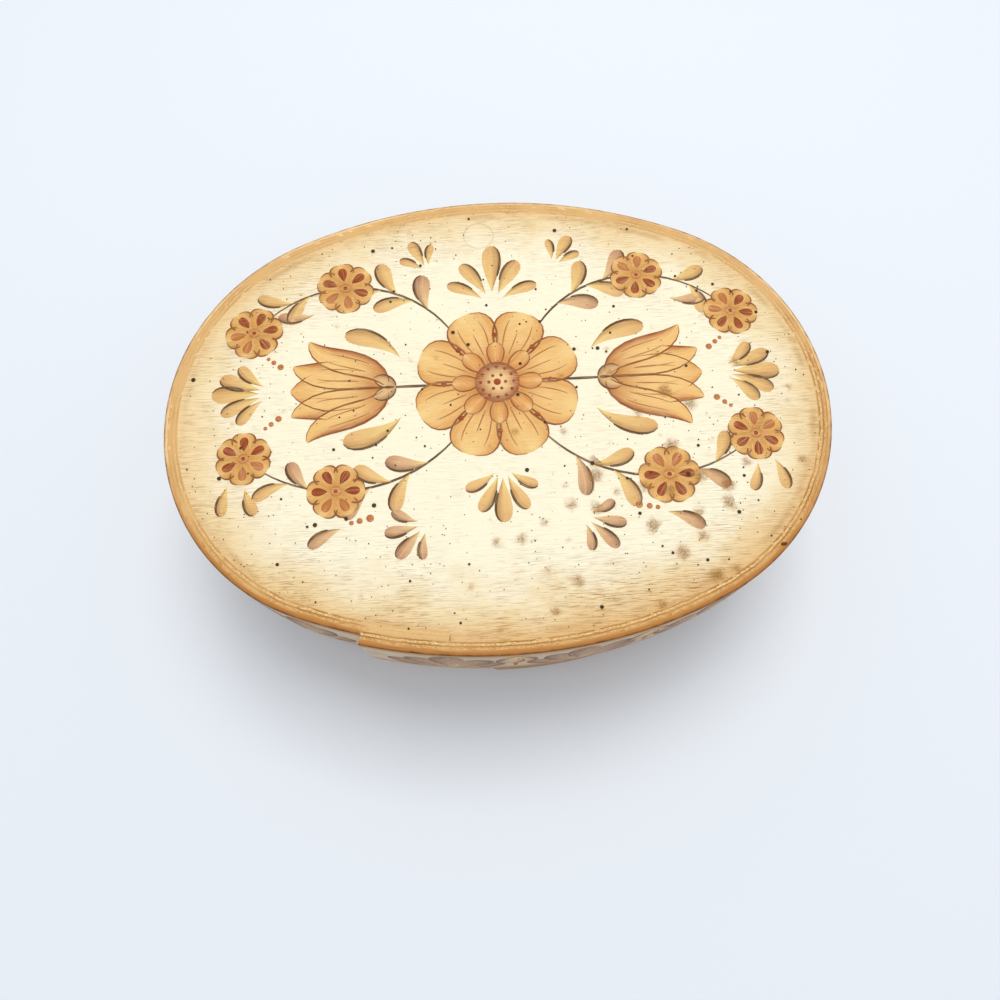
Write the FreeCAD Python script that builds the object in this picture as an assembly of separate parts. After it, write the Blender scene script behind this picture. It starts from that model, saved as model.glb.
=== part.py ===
import FreeCAD, Part
import math
import os

# Oval bentwood box with a lift-off lid. Sizes are in millimetres and angles in degrees.
# X runs along the oval, -Y is the front, where the bands are lapped, and Z is up.
# The origin is on the underside, in the middle of the oval.

Vector = FreeCAD.Vector

# The lid over its band, which is the largest outline of the box
lid_length = 300.0
lid_width = 222.4
end_radius = 100.0
box_height = 100.0

# Bands
band_thickness = 4.0
glue_line = 0.1
lid_band_height = 44.0
lid_clearance = 1.0

# The lid band's joint: its hidden end lies under its outer end, and runs a little flatter there
lap_radius = 240.0
front_left_radius = 95.0
front_left_start = 212.0
lid_hidden_end_x = -26.0
lid_outer_end_x = -63.0

# The body band's joint lies just right of the lid's, so that the two steps pass each other
body_hidden_end_x = 19.0
body_outer_end_x = -14.0

# Boards
board_thickness = 7.5
board_gap = 0.1
lid_board_recess = 0.4
rim_gap = 0.3

# Rounding of edges
rim_rounding = 0.9
foot_rounding = 0.5
board_rounding = 0.6

# Brads: round wire nails with small flat heads, set just below the wood
brad_radius = 0.6
brad_head_radius = 1.1
brad_head_thickness = 0.5
brad_set_depth = 0.2
board_brad_length = 14.0
lap_brad_length = 7.4
board_brad_count = 12
lap_brad_margin = 2.2
lid_lap_brad_heights = (62.0, 74.0, 86.0)
body_lap_brad_heights = (14.0, 36.0, 58.0, 80.0)

# Worked out from the sizes above
half_length = lid_length / 2
half_width = lid_width / 2
end_offset = half_length - end_radius
side_radius = (end_offset ** 2 + half_width ** 2 - end_radius ** 2) / (2 * (half_width - end_radius))
side_offset = side_radius - half_width
lap_step = band_thickness + glue_line
body_inset = band_thickness + lid_clearance
lid_board_top = box_height - lid_board_recess
lid_board_bottom = lid_board_top - board_thickness
body_height = lid_board_bottom - rim_gap


def direction(angle):
    turned = math.radians(angle)
    return Vector(math.cos(turned), math.sin(turned), 0)


def angle_of(vector):
    return math.degrees(math.atan2(vector.y, vector.x))


# The point, on the left of the line from one point to another, at a given distance from each
def point_at_distances(one, one_distance, other, other_distance):
    line = other - one
    span = line.Length
    along = (one_distance ** 2 - other_distance ** 2 + span ** 2) / (2 * span)
    aside = math.sqrt(one_distance ** 2 - along ** 2)
    ahead = line / span
    left = Vector(-ahead.y, ahead.x, 0)
    return one + ahead * along + left * aside


left_centre = Vector(-end_offset, 0, 0)
right_centre = Vector(end_offset, 0, 0)
front_centre = Vector(0, side_offset, 0)
back_centre = Vector(0, -side_offset, 0)
corner_centre = left_centre + direction(front_left_start) * (end_radius - front_left_radius)
lap_centre = point_at_distances(
    corner_centre, lap_radius - front_left_radius,
    front_centre, lap_radius + lap_step - side_radius)

side_start = angle_of(Vector(end_offset, side_offset, 0))
lap_start = angle_of(front_centre - lap_centre)
corner_start = angle_of(corner_centre - lap_centre) + 360

# A band's line, clockwise from above: from under the joint round the oval to the top of the
# joint. Each arc has its centre, its radius and the angle at which the next arc takes over.
spiral = (
    (lap_centre, lap_radius, corner_start),
    (corner_centre, front_left_radius, front_left_start),
    (left_centre, end_radius, 180 - side_start),
    (back_centre, side_radius, side_start),
    (right_centre, end_radius, -side_start),
    (front_centre, side_radius, lap_start),
    (lap_centre, lap_radius + lap_step, -180.0),
)


# The angle at which the joint's arc passes the place x at the front of the box
def lap_angle(radius, x):
    return -math.degrees(math.acos((x - lap_centre.x) / radius))


lid_hidden_angle = lap_angle(lap_radius, lid_hidden_end_x)
lid_outer_angle = lap_angle(lap_radius + lap_step, lid_outer_end_x)
body_hidden_angle = lap_angle(lap_radius - body_inset, body_hidden_end_x)
body_outer_angle = lap_angle(lap_radius + lap_step - body_inset, body_outer_end_x)


# The arcs of the spiral between two angles, moved inwards by an inset, as
# (centre, radius, first angle, last angle)
def arcs_between(first, last, inset):
    arcs = []
    angle = first
    for centre, radius, handover in spiral:
        reach = max(handover, last)
        if angle > reach:
            arcs.append((centre, radius - inset, angle, reach))
            angle = reach
    return arcs


def arc_edge(centre, radius, first, last):
    middle = (first + last) / 2
    points = [centre + direction(angle) * radius for angle in (first, middle, last)]
    return Part.Arc(*points).toShape()


def edges_between(first, last, inset):
    return [arc_edge(*arc) for arc in arcs_between(first, last, inset)]


# Three points of a rounded corner, from its level edge to its upright one
def rounded_corner(corner, aside, upright, rounding):
    nearest = rounding * (1 - math.sqrt(0.5))
    return [corner + aside * rounding, corner + (aside + upright) * nearest, corner + upright * rounding]


# The section of a band, with its outer face at a distance from an arc's centre
def band_section(centre, outward, radius, bottom, top):
    up = Vector(0, 0, 1)
    outside = centre + outward * radius
    inside = outside - outward * band_thickness
    corners = (
        rounded_corner(outside + up * bottom, -outward, up, foot_rounding),
        rounded_corner(outside + up * top, -outward, -up, rim_rounding)[::-1],
        rounded_corner(inside + up * top, outward, -up, rim_rounding),
        rounded_corner(inside + up * bottom, outward, up, foot_rounding)[::-1],
    )
    edges = []
    for corner, following in zip(corners, corners[1:] + corners[:1]):
        edges.append(Part.Arc(*corner).toShape())
        edges.append(Part.makeLine(corner[-1], following[0]))
    return Part.Face(Part.Wire(edges))


# A bent strip whose hidden end is under its outer end
def bent_band(hidden_angle, outer_angle, inset, bottom, top):
    pieces = []
    for centre, radius, first, last in arcs_between(hidden_angle + 360, outer_angle, inset):
        section = band_section(centre, direction(first), radius, bottom, top)
        pieces.append(section.revolve(centre, Vector(0, 0, -1), first - last))
    return pieces[0].multiFuse(pieces[1:]).Solids[0]


# A board that fills the inside of a bent strip, with a step for the strip's hidden end
def fitted_board(hidden_angle, inset, bottom, top):
    rim = edges_between(hidden_angle + 360, hidden_angle, inset)
    step = Part.makeLine(rim[-1].Vertexes[-1].Point, rim[0].Vertexes[0].Point)
    board = Part.Face(Part.Wire(rim + [step])).extrude(Vector(0, 0, top - bottom))
    return board.translated(Vector(0, 0, bottom))


# Rounds the edges that lie at one height
def ease_edges(solid, height, radius):
    level = [edge for edge in solid.Edges
             if abs(edge.BoundBox.ZMin - height) < 0.01 and abs(edge.BoundBox.ZMax - height) < 0.01]
    return solid.makeFillet(radius, level)


# A brad driven in square to the outside of a band, at an angle of the spiral and a height
def brad(angle, inset, height, length):
    for centre, radius, first, last in arcs_between(360.0, -180.0, inset):
        if first >= angle >= last:
            surface = centre + direction(angle) * radius
    inward = -direction(angle)
    start = surface + inward * brad_set_depth + Vector(0, 0, height)
    head = Part.makeCylinder(brad_head_radius, brad_head_thickness, start, inward)
    shank = Part.makeCylinder(brad_radius, length, start, inward)
    return head.fuse(shank).removeSplitter()


# Angles of places spread evenly along a band, half a space in from where the count starts
def even_angles(first, last, count):
    arcs = arcs_between(first, last, 0)
    lengths = [radius * math.radians(start - stop) for centre, radius, start, stop in arcs]
    space = sum(lengths) / count
    angles = []
    for place in range(count):
        distance = (place + 0.5) * space
        for (centre, radius, start, stop), length in zip(arcs, lengths):
            if distance <= length:
                angles.append(start - math.degrees(distance / radius))
                break
            distance -= length
    return angles


def ring_of_brads(outer_angle, inset, height):
    angles = even_angles(outer_angle + 360, outer_angle, board_brad_count)
    return [brad(angle, inset, height, board_brad_length) for angle in angles]


# Two upright rows of brads through a joint, one near each end of the overlap
def lap_brads(outer_angle, hidden_angle, inset, heights):
    rows = (outer_angle + lap_brad_margin, hidden_angle - lap_brad_margin)
    return [brad(angle, inset, height, lap_brad_length) for angle in rows for height in heights]


def drilled(solid, brads):
    for nail in brads:
        solid = solid.cut(nail)
    return solid


def write(name, shape):
    shape.exportStep(os.path.join("parts", name + ".step"))
    box = shape.optimalBoundingBox(True, False)
    print(f"{name}: {len(shape.Solids)} solids, {shape.Volume / 1000:.1f} cm3, valid {shape.isValid()}, "
          f"x {box.XMin:.1f} {box.XMax:.1f}, y {box.YMin:.1f} {box.YMax:.1f}, z {box.ZMin:.1f} {box.ZMax:.1f}")


def lid_board():
    board = fitted_board(lid_hidden_angle, band_thickness + board_gap, lid_board_bottom, lid_board_top)
    return ease_edges(board, lid_board_top, board_rounding)


def lid_band():
    return bent_band(lid_hidden_angle, lid_outer_angle, 0, box_height - lid_band_height, box_height)


def bottom_board():
    return fitted_board(body_hidden_angle, body_inset + band_thickness + board_gap, 0, board_thickness)


def body_band():
    return bent_band(body_hidden_angle, body_outer_angle, body_inset, 0, body_height)


os.makedirs("parts", exist_ok=True)

lid_board_brads = ring_of_brads(lid_outer_angle, 0, lid_board_bottom + board_thickness / 2)
lid_lap_brads = lap_brads(lid_outer_angle, lid_hidden_angle, 0, lid_lap_brad_heights)
bottom_board_brads = ring_of_brads(body_outer_angle, body_inset, board_thickness / 2)
body_lap_brads = lap_brads(body_outer_angle, body_hidden_angle, body_inset, body_lap_brad_heights)

write("lid_board", drilled(lid_board(), lid_board_brads))
write("lid_band", drilled(lid_band(), lid_board_brads + lid_lap_brads))
write("lid_board_brads", Part.makeCompound(lid_board_brads))
write("lid_lap_brads", Part.makeCompound(lid_lap_brads))
write("bottom_board", drilled(bottom_board(), bottom_board_brads))
write("body_band", drilled(body_band(), bottom_board_brads + body_lap_brads))
write("bottom_board_brads", Part.makeCompound(bottom_board_brads))
write("body_lap_brads", Part.makeCompound(body_lap_brads))
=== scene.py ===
import math
import random
from functools import partial

import bmesh
import bpy
from mathutils import Matrix, Vector, noise


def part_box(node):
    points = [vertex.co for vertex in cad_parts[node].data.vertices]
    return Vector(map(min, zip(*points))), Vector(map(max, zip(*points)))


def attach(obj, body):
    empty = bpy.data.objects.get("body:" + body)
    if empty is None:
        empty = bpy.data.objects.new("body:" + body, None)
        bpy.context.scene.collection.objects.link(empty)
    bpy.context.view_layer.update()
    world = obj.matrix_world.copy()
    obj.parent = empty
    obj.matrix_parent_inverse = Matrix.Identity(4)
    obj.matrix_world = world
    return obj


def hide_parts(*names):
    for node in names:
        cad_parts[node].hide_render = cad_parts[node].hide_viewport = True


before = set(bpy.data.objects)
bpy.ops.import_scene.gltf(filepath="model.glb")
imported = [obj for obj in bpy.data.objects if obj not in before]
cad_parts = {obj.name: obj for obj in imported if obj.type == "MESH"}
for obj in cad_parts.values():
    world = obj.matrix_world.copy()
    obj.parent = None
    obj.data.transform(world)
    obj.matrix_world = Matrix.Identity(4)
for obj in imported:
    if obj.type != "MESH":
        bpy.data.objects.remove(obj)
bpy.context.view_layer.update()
print("frame loaded")

mm = 0.001
paintGloss = 0.16  # old casein paint under a thin worn varnish
up = Vector((0, 0, 1))
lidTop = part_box("lid_band")[1].z / mm  # shapes are made in mm and brought to metres at the end
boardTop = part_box("lid_board")[1].z / mm


# Hex colour to the linear one that shaders work in
def colour(hexText):
    channels = [int(hexText[place:place + 2], 16) / 255 for place in (1, 3, 5)]
    return [c / 12.92 if c <= 0.04045 else ((c + 0.055) / 1.055) ** 2.4 for c in channels] + [1.0]


def direction(angle):
    return Vector((math.cos(math.radians(angle)), math.sin(math.radians(angle)), 0))


def angleOf(vector):
    return math.degrees(math.atan2(vector.y, vector.x))


def smoothStep(low, high, value):
    share = min(max((value - low) / (high - low), 0), 1)
    return share * share * (3 - 2 * share)


# Sets a node's inputs, given in its order or by name, to numbers, hex colours or other outputs
def plugIn(node, inputs):
    used = [socket for socket in node.inputs if socket.enabled]
    for key, value in inputs.items() if isinstance(inputs, dict) else enumerate(inputs):
        socket = used[key] if isinstance(key, int) else next(s for s in used if s.name == key)
        if isinstance(value, bpy.types.NodeSocket):
            node.id_data.links.new(value, socket)
        else:
            socket.default_value = colour(value) if isinstance(value, str) else value


# Adds a node with its settings and inputs, and gives back its output
def addNode(tree, kind, inputs=(), output=None, stops=None, **settings):
    node = tree.nodes.new("ShaderNode" + kind)
    for name, value in settings.items():
        setattr(node, name, value)
    plugIn(node, inputs)
    if stops:
        ramp = node.color_ramp.elements
        while len(ramp) < len(stops):
            ramp.new(1)
        for element, (place, hexText) in zip(ramp, stops):
            element.position = place
            element.color = colour(hexText)
    return node.outputs[output] if output else next(s for s in node.outputs if s.enabled)


# A new material, what adds nodes to it, and its shader
def newMaterial(name, gloss=0.5):
    material = bpy.data.materials.new(name)
    material.use_nodes = True
    shader = material.node_tree.nodes["Principled BSDF"]
    plugIn(shader, {"Specular IOR Level": gloss})
    return material, partial(addNode, material.node_tree), shader


# Noise drawn out to a size each way, as grain and brush marks are
def drawnNoise(add, place, size, detail=2.0, roughness=0.5, distortion=0.0, shift=(0, 0, 0)):
    drawn = add("Mapping", {"Vector": place, "Location": shift, "Scale": [1 / length for length in size]})
    return add("TexNoise", {"Vector": drawn, "Scale": 1.0, "Detail": detail, "Roughness": roughness,
                            "Distortion": distortion})


# Cloudy patches of a size in mm, brought from a range of the noise to one of its own
def patchesOf(add, place, size, ranges, detail=3.0, roughness=0.5):
    cloud = add("TexNoise", {"Vector": place, "Scale": 1 / size, "Detail": detail, "Roughness": roughness})
    return add("MapRange", [cloud, *ranges])


# How far a value lies from another, on either side
def offBy(add, value, other):
    return add("Math", [add("Math", [value, other], operation="SUBTRACT")], operation="ABSOLUTE")


# Closes a shape made in mm, as a piece on a CAD body with a finish; edges turn sharp past an angle
def finishPiece(shape, name, body, material, sharpPast=45):
    bmesh.ops.recalc_face_normals(shape, faces=shape.faces)
    bmesh.ops.scale(shape, vec=(mm, mm, mm), verts=shape.verts)
    mesh = bpy.data.meshes.new(name)
    shape.to_mesh(mesh)
    shape.free()
    mesh.shade_smooth()
    mesh.set_sharp_from_angle(angle=math.radians(sharpPast))
    mesh.materials.append(material)
    piece = bpy.data.objects.new(name, mesh)
    bpy.context.scene.collection.objects.link(piece)
    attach(piece, body)
    return piece


# Camera, as it looks down on the lid
photoView = {
    "stand": Vector((-7.644, -149.195, 311.409)),  # from the middle of the lid's top
    "aim": Vector((-1.888, -44.910, 0)),
    "lens": 27.36,
    "sensor": 36.0,
}
camera = bpy.data.objects.new("camera", bpy.data.cameras.new("camera"))
camera.data.lens = photoView["lens"]
camera.data.sensor_width = photoView["sensor"]
camera.location = (photoView["stand"] + up * lidTop) * mm
camera.rotation_mode = "QUATERNION"
camera.rotation_quaternion = (photoView["aim"] - photoView["stand"]).to_track_quat("-Z", "Y")
bpy.context.scene.collection.objects.link(camera)
bpy.context.scene.camera = camera
bpy.context.scene.view_settings.view_transform = "Standard"  # a pale, high-key picture
print("camera placed")

# The bands' line, in mm and degrees: a spiral of arcs, clockwise from above, that starts under
# the lap and ends on top of it
outline = {
    "halfLength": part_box("lid_band")[1].x / mm,
    "halfWidth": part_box("lid_band")[1].y / mm,
    "endRadius": 100.0,
    "lapRadius": 240.0,
    "frontLeftRadius": 95.0,
    "frontLeftStart": 212.0,
    "thickness": 4.0,
    "glueLine": 0.1,
    "sweepStep": 2.4,  # how finely the arcs are turned
    "topRoundings": (0.35, 0.7),  # inside and outside
    "footRounding": 0.5,
}


# The point, on the left of the line from one point to another, at a given distance from each
def pointAtDistances(one, oneDistance, other, otherDistance):
    span = (other - one).length
    ahead = (other - one) / span
    reach = (oneDistance ** 2 - otherDistance ** 2 + span ** 2) / (2 * span)
    return one + ahead * reach + up.cross(ahead) * math.sqrt(oneDistance ** 2 - reach ** 2)


endOffset = outline["halfLength"] - outline["endRadius"]
sideRadius = ((endOffset ** 2 + outline["halfWidth"] ** 2 - outline["endRadius"] ** 2)
              / (2 * (outline["halfWidth"] - outline["endRadius"])))
sideOffset = sideRadius - outline["halfWidth"]
lapStep = outline["thickness"] + outline["glueLine"]
leftCentre, rightCentre = Vector((-endOffset, 0, 0)), Vector((endOffset, 0, 0))
frontCentre, backCentre = Vector((0, sideOffset, 0)), Vector((0, -sideOffset, 0))
cornerCentre = leftCentre + direction(outline["frontLeftStart"]) * (
    outline["endRadius"] - outline["frontLeftRadius"])
lapCentre = pointAtDistances(
    cornerCentre, outline["lapRadius"] - outline["frontLeftRadius"],
    frontCentre, outline["lapRadius"] + lapStep - sideRadius)
sideStart = angleOf(Vector((endOffset, sideOffset, 0)))
spiral = (  # each arc has its centre, its radius and the angle at which the next one takes over
    (lapCentre, outline["lapRadius"], angleOf(cornerCentre - lapCentre) + 360),
    (cornerCentre, outline["frontLeftRadius"], outline["frontLeftStart"]),
    (leftCentre, outline["endRadius"], 180 - sideStart),
    (backCentre, sideRadius, sideStart),
    (rightCentre, outline["endRadius"], -sideStart),
    (frontCentre, sideRadius, angleOf(frontCentre - lapCentre)),
    (lapCentre, outline["lapRadius"] + lapStep, -180.0),
)


# The angle at which a lap's arc passes the place x at the front of the box
def lapAngle(radius, x):
    return -math.degrees(math.acos((x - lapCentre.x) / radius))


# Arcs of the spiral between two angles, moved inwards, as centre, radius, first and last angle
def arcsBetween(first, last, inset):
    arcs = []
    for centre, radius, handover in spiral:
        reach = max(handover, last)
        if first > reach:
            arcs.append((centre, radius - inset, first, reach))
            first = reach
    return arcs


# How far a point lies in from the lid's edge
def insideEdge(point):
    quarter = Vector((abs(point.x), abs(point.y), 0))
    if Vector((sideOffset, -endOffset, 0)).dot(quarter - rightCentre) > 0:
        return outline["endRadius"] - (quarter - rightCentre).length
    return sideRadius - (quarter - backCentre).length


# Where each band's two ends lie, how far it is set in, and how finely it is modelled
bands = {
    "lid": {"node": "lid_band", "hiddenEndX": -26.0, "outerEndX": -63.0, "inset": 0.0, "rows": 8},
    "body": {"node": "body_band", "hiddenEndX": 19.0, "outerEndX": -14.0, "inset": 5.0, "rows": 14,
             "pared": 7.0},
}
for band in bands.values():
    innerRadius = outline["lapRadius"] - band["inset"]
    band["hiddenAngle"] = lapAngle(innerRadius, band["hiddenEndX"]) + 360
    band["outerAngle"] = lapAngle(innerRadius + lapStep, band["outerEndX"])
    band["arcs"] = arcsBetween(band["hiddenAngle"], band["outerAngle"], band["inset"])
    band["length"] = sum(radius * math.radians(first - last) for _, radius, first, last in band["arcs"])
    band["lap"] = innerRadius * math.radians(band["hiddenAngle"] - band["outerAngle"] - 360)
    band["bottom"], band["top"] = [corner.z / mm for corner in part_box(band["node"])]


# The point and outward direction at a length along a band's outer face
def bandPlace(band, along):
    for centre, radius, first, last in band["arcs"]:
        turned = first - math.degrees(along / radius)
        if turned >= last:
            break
        along -= radius * math.radians(first - last)
    outward = direction(max(turned, last))
    return centre + outward * radius, outward


# Object coordinates in mm
def millimetres(add):
    return add("VectorMath", [add("TexCoord", output="Object"), 1 / mm], operation="SCALE")


# Distance in from the oval's edge, in mm: from its end arcs, or from its side arcs between them
def edgeDistance(add, plane):
    quarter = add("VectorMath", [plane], operation="ABSOLUTE")
    fromEnd = add("VectorMath", [quarter, rightCentre], operation="DISTANCE")
    fromSide = add("VectorMath", [quarter, backCentre], operation="DISTANCE")
    inEnd = add("Math", [outline["endRadius"], fromEnd], operation="SUBTRACT")
    inSide = add("Math", [sideRadius, fromSide], operation="SUBTRACT")
    border = Vector((sideOffset, -endOffset, 0)).normalized()  # square to the line where the arcs meet
    beyond = add("VectorMath", [quarter, border], operation="DOT_PRODUCT")
    isEnd = add("Math", [beyond, rightCentre.dot(border)], operation="GREATER_THAN")
    return add("Mix", [isEnd, inSide, inEnd])


# Marks of age over the paint of the lid, in mm: brushed grain, mould, and the finest of the spatter
wear = {
    "grain": (8.0, 0.4, 1),     # fine dashes left by the brush along the board
    "streaks": (26.0, 1.3, 1),  # broader, fewer and fainter
    "cloud": 34.0,              # patches where they are stronger
    "grainColour": "#a87c48",
    "cracks": (24.0, 2.6, 1),   # fine, along the grain, at the front and near the edge
    "crackColour": "#9a6c3a",
    "mouldAt": (78, -50, 0),    # where its spots are thickest
    "mouldCell": 11.5,          # between spots
    "mouldRagged": 4.2,         # how far their outlines stray
    "mouldTones": (("#bc8038", -0.09, 0.12, 0.6), ("#7d5820", 0.0, 0.22, 0.72)),  # halo and core
    "speckCell": 4.2,           # between fine specks of spatter
    "speckColour": "#5d4a33",
    "ringAt": (-5, 92, 0),      # a wet foot left it
    "ringRadius": 7.2,
    "ringColour": "#a9936c",
}


def wornPaint(add, plane, base, nearEdge):
    grain = drawnNoise(add, plane, wear["grain"], 3.0, 0.6, 0.15)
    streaks = drawnNoise(add, plane, wear["streaks"], 4.0, 0.6, 0.3, (2.4, 0.6, 0))
    dark = add("MapRange", [grain, 0.51, 0.63, 0.0, 0.95])
    streaks = add("MapRange", [streaks, 0.52, 0.72, 0.0, 0.6])
    dark = add("Math", [dark, streaks], operation="MAXIMUM")
    patches = patchesOf(add, plane, wear["cloud"], (0.38, 0.66, 0.35, 1.0), 2.0)
    strength = add("MapRange", [nearEdge, 4.0, 58.0, 0.85, 0.3])
    front = add("MapRange", [add("SeparateXYZ", [plane], "Y"), -64.0, -98.0, 0.0, 0.4])
    strength = add("Math", [strength, front], operation="ADD")
    dark = add("Math", [dark, patches], operation="MULTIPLY")
    dark = add("Math", [dark, strength], operation="MULTIPLY", use_clamp=True)
    aged = add("Mix", [dark, base, wear["grainColour"]], data_type="RGBA")

    # Fine cracks
    cracks = drawnNoise(add, plane, wear["cracks"], 4.0, 0.62, 0.5, (4.2, 1.7, 0))
    cracks = add("MapRange", [offBy(add, cracks, 0.5), 0.022, 0.002])
    edge = add("MapRange", [nearEdge, 6.0, 22.0, 0.4, 0.0])
    edge = add("Math", [front, edge], operation="MAXIMUM")
    cracks = add("Math", [edge, cracks], operation="MULTIPLY")
    cracks = add("Math", [cracks, patches], operation="MULTIPLY")
    aged = add("Mix", [cracks, aged, wear["crackColour"]], data_type="RGBA")

    # Mould: small ragged spots in clusters, thickest towards the front right
    ragged = add("TexNoise", {"Vector": plane, "Scale": 1 / 2.4, "Detail": 4.0}, "Color")
    ragged = add("VectorMath", [ragged, wear["mouldRagged"]], operation="SCALE")
    ragged = add("VectorMath", [ragged, plane], operation="ADD")
    cells = add("Mapping", {"Vector": ragged, "Location": (3.1, 7.7, 0),
                            "Scale": [1 / wear["mouldCell"]] * 3})
    spots = add("TexVoronoi", {"Vector": cells, "Scale": 1.0, "Randomness": 0.9}, voronoi_dimensions="2D")
    luck = add("SeparateColor", [spots.node.outputs["Color"]])
    reach = add("VectorMath", [plane, wear["mouldAt"]], operation="DISTANCE")
    odds = add("MapRange", [reach, 15.0, 110.0, 0.3, 0.87])
    grown = add("Math", [odds, 0.45], operation="ADD")
    size = add("MapRange", [luck, odds, grown, 0.0, 0.3])
    deep = add("Math", [size, spots], operation="SUBTRACT")
    crumbs = patchesOf(add, plane, 1 / 1.3, (0.4, 0.6, 0.4, 1.0), roughness=0.6)
    for tone, start, full, most in wear["mouldTones"]:
        share = add("MapRange", [deep, start, full, 0.0, most])
        share = add("Math", [share, crumbs], operation="MULTIPLY")
        aged = add("Mix", [share, aged, tone], data_type="RGBA")

    # A faint ring, and the finest spatter, too small to model
    ring = add("VectorMath", [plane, wear["ringAt"]], operation="DISTANCE")
    ring = add("MapRange", [offBy(add, ring, wear["ringRadius"]), 0.6, 0.1, 0.0, 0.4])
    ring = add("Math", [ring, crumbs], operation="MULTIPLY")
    aged = add("Mix", [ring, aged, wear["ringColour"]], data_type="RGBA")
    specks = add("TexVoronoi", {"Vector": plane, "Scale": 1 / wear["speckCell"]}, voronoi_dimensions="2D")
    luck = add("SeparateColor", [specks.node.outputs["Color"]], "Green")
    size = add("MapRange", [luck, 0.58, 1.0, 0.0, 0.085])
    specks = add("Math", [size, specks], operation="SUBTRACT")
    specks = add("MapRange", [specks, 0.0, 0.02])
    return add("Mix", [specks, aged, wear["speckColour"]], data_type="RGBA"), grain


# Cream casein paint brushed on a planed board and glazed brown towards the edge: matt and cloudy,
# with fine streaks along the board. Its underside and edge are bare wood
board = {
    "stops": [(0.0, "#cf9650"), (0.08, "#deac6c"), (0.12, "#e7bf84"), (0.2, "#edcc95"), (0.3, "#f1d7a6"),
              (0.44, "#f4dfb2"), (0.66, "#f8e9c6"), (1.0, "#fcf3d6")],
    "reach": 54.0,          # mm over which the glaze fades
    "lowTone": "#dfa869",   # the glaze is redder towards the front and the right
    "lowWay": (0.45, -0.89, 0),
    "browLine": "#b98848",  # where it gathered, short of the edge
    "browAt": 8.4,          # mm
    "wornTone": "#fae2b0",  # where hands wore it paler, at the left end
    "bareWood": "#cfa873",
    "roughness": (0.5, 0.66),
    "streakHeight": 0.02,   # mm
}


def paintedBoardMaterial():
    material, add, shader = newMaterial("cream casein paint on planed board, glazed", paintGloss)
    place = millimetres(add)
    plane = add("VectorMath", [place, (1, 1, 0)], operation="MULTIPLY")
    distance = edgeDistance(add, plane)
    x, y, z = add("SeparateXYZ", [place]).node.outputs
    wander = patchesOf(add, plane, 26, (0.3, 0.7, 0.62, 1.45), roughness=0.6)
    wander = add("Mix", [add("MapRange", [distance, 3.0, 16.0]), 1.0, wander])
    depth = add("Math", [distance, wander], operation="MULTIPLY")
    atFront = add("MapRange", [y, -60.0, -100.0, 0.62, 0.86])
    atLeft = add("MapRange", [x, -60.0, -150.0, 1.0, 1.3])
    reach = add("Math", [atFront, atLeft], operation="MULTIPLY")
    reach = add("Math", [reach, board["reach"]], operation="MULTIPLY")
    depth = add("Math", [depth, reach], operation="DIVIDE")
    glaze = add("ValToRGB", [depth], stops=board["stops"])
    low = add("VectorMath", [plane, board["lowWay"]], operation="DOT_PRODUCT")
    low = add("MapRange", [low, 40.0, 105.0, 0.0, 0.3], interpolation_type="SMOOTHSTEP")
    low = add("Math", [low, add("MapRange", [depth, 0.1, 0.55, 1.0, 0.0])], operation="MULTIPLY")
    glaze = add("Mix", [low, glaze, board["lowTone"]], data_type="RGBA")
    brow = add("MapRange", [offBy(add, distance, board["browAt"]), 2.4, 0.3, 0.0, 0.42])
    gathered = patchesOf(add, plane, 22, (0.44, 0.6))
    brow = add("Math", [brow, gathered], operation="MULTIPLY")
    glaze = add("Mix", [brow, glaze, board["browLine"]], data_type="RGBA")
    pale = add("MapRange", [x, -112.0, -146.0, 0.0, 0.5])
    glaze = add("Mix", [pale, glaze, board["wornTone"]], data_type="RGBA")
    worn, grain = wornPaint(add, plane, glaze, distance)

    painted = add("Math", [z, boardTop - 1], operation="GREATER_THAN")
    finish = add("Mix", [painted, bareWood(add, board["bareWood"]), worn], data_type="RGBA")
    rough = add("MapRange", [grain, 0.0, 1.0, *board["roughness"]])
    bump = add("Bump", {"Height": grain, "Strength": 1.0, "Distance": board["streakHeight"] * mm})
    plugIn(shader, {"Base Color": finish, "Roughness": rough, "Normal": bump})
    return material


# A colour made darker or lighter
def shaded(hexText, share):
    return [min(channel * share, 1) for channel in colour(hexText)[:3]] + [1.0]


# A plain-sawn board, its grain along X: broad growth rings, most of them 2 to 10 mm apart
wood = {
    "figure": (360, 40, 50),  # mm
    "rings": 18.0,            # through the figure
    "ringStops": [(0.0, "#202020"), (0.6, "#686868"), (0.86, "#f0f0f0"), (1.0, "#202020")],
    "pores": (14, 0.5, 0.5),  # mm
}


def bareWood(add, hexText):
    place = millimetres(add)
    rings = drawnNoise(add, place, wood["figure"], 2.0, 0.4, 0.15)
    rings = add("Math", [rings, wood["rings"]], operation="MULTIPLY")
    rings = add("Math", [rings], operation="FRACT")
    rings = add("ValToRGB", [rings], stops=wood["ringStops"])
    pores = drawnNoise(add, place, wood["pores"], 3.0, 0.6)
    pores = add("MapRange", [pores, 0.48, 0.7, 0.0, 0.55])
    ringed = add("Mix", [rings, shaded(hexText, 1.16), shaded(hexText, 0.74)], data_type="RGBA")
    return add("Mix", [pores, ringed, shaded(hexText, 0.37)], data_type="RGBA")


# Planed softwood, oiled by handling: dull with broad rings and fine pores
def bottomWoodMaterial():
    material, add, shader = newMaterial("planed softwood, bare")
    plugIn(shader, {"Base Color": bareWood(add, "#c99f68"), "Roughness": 0.62})
    return material


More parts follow.
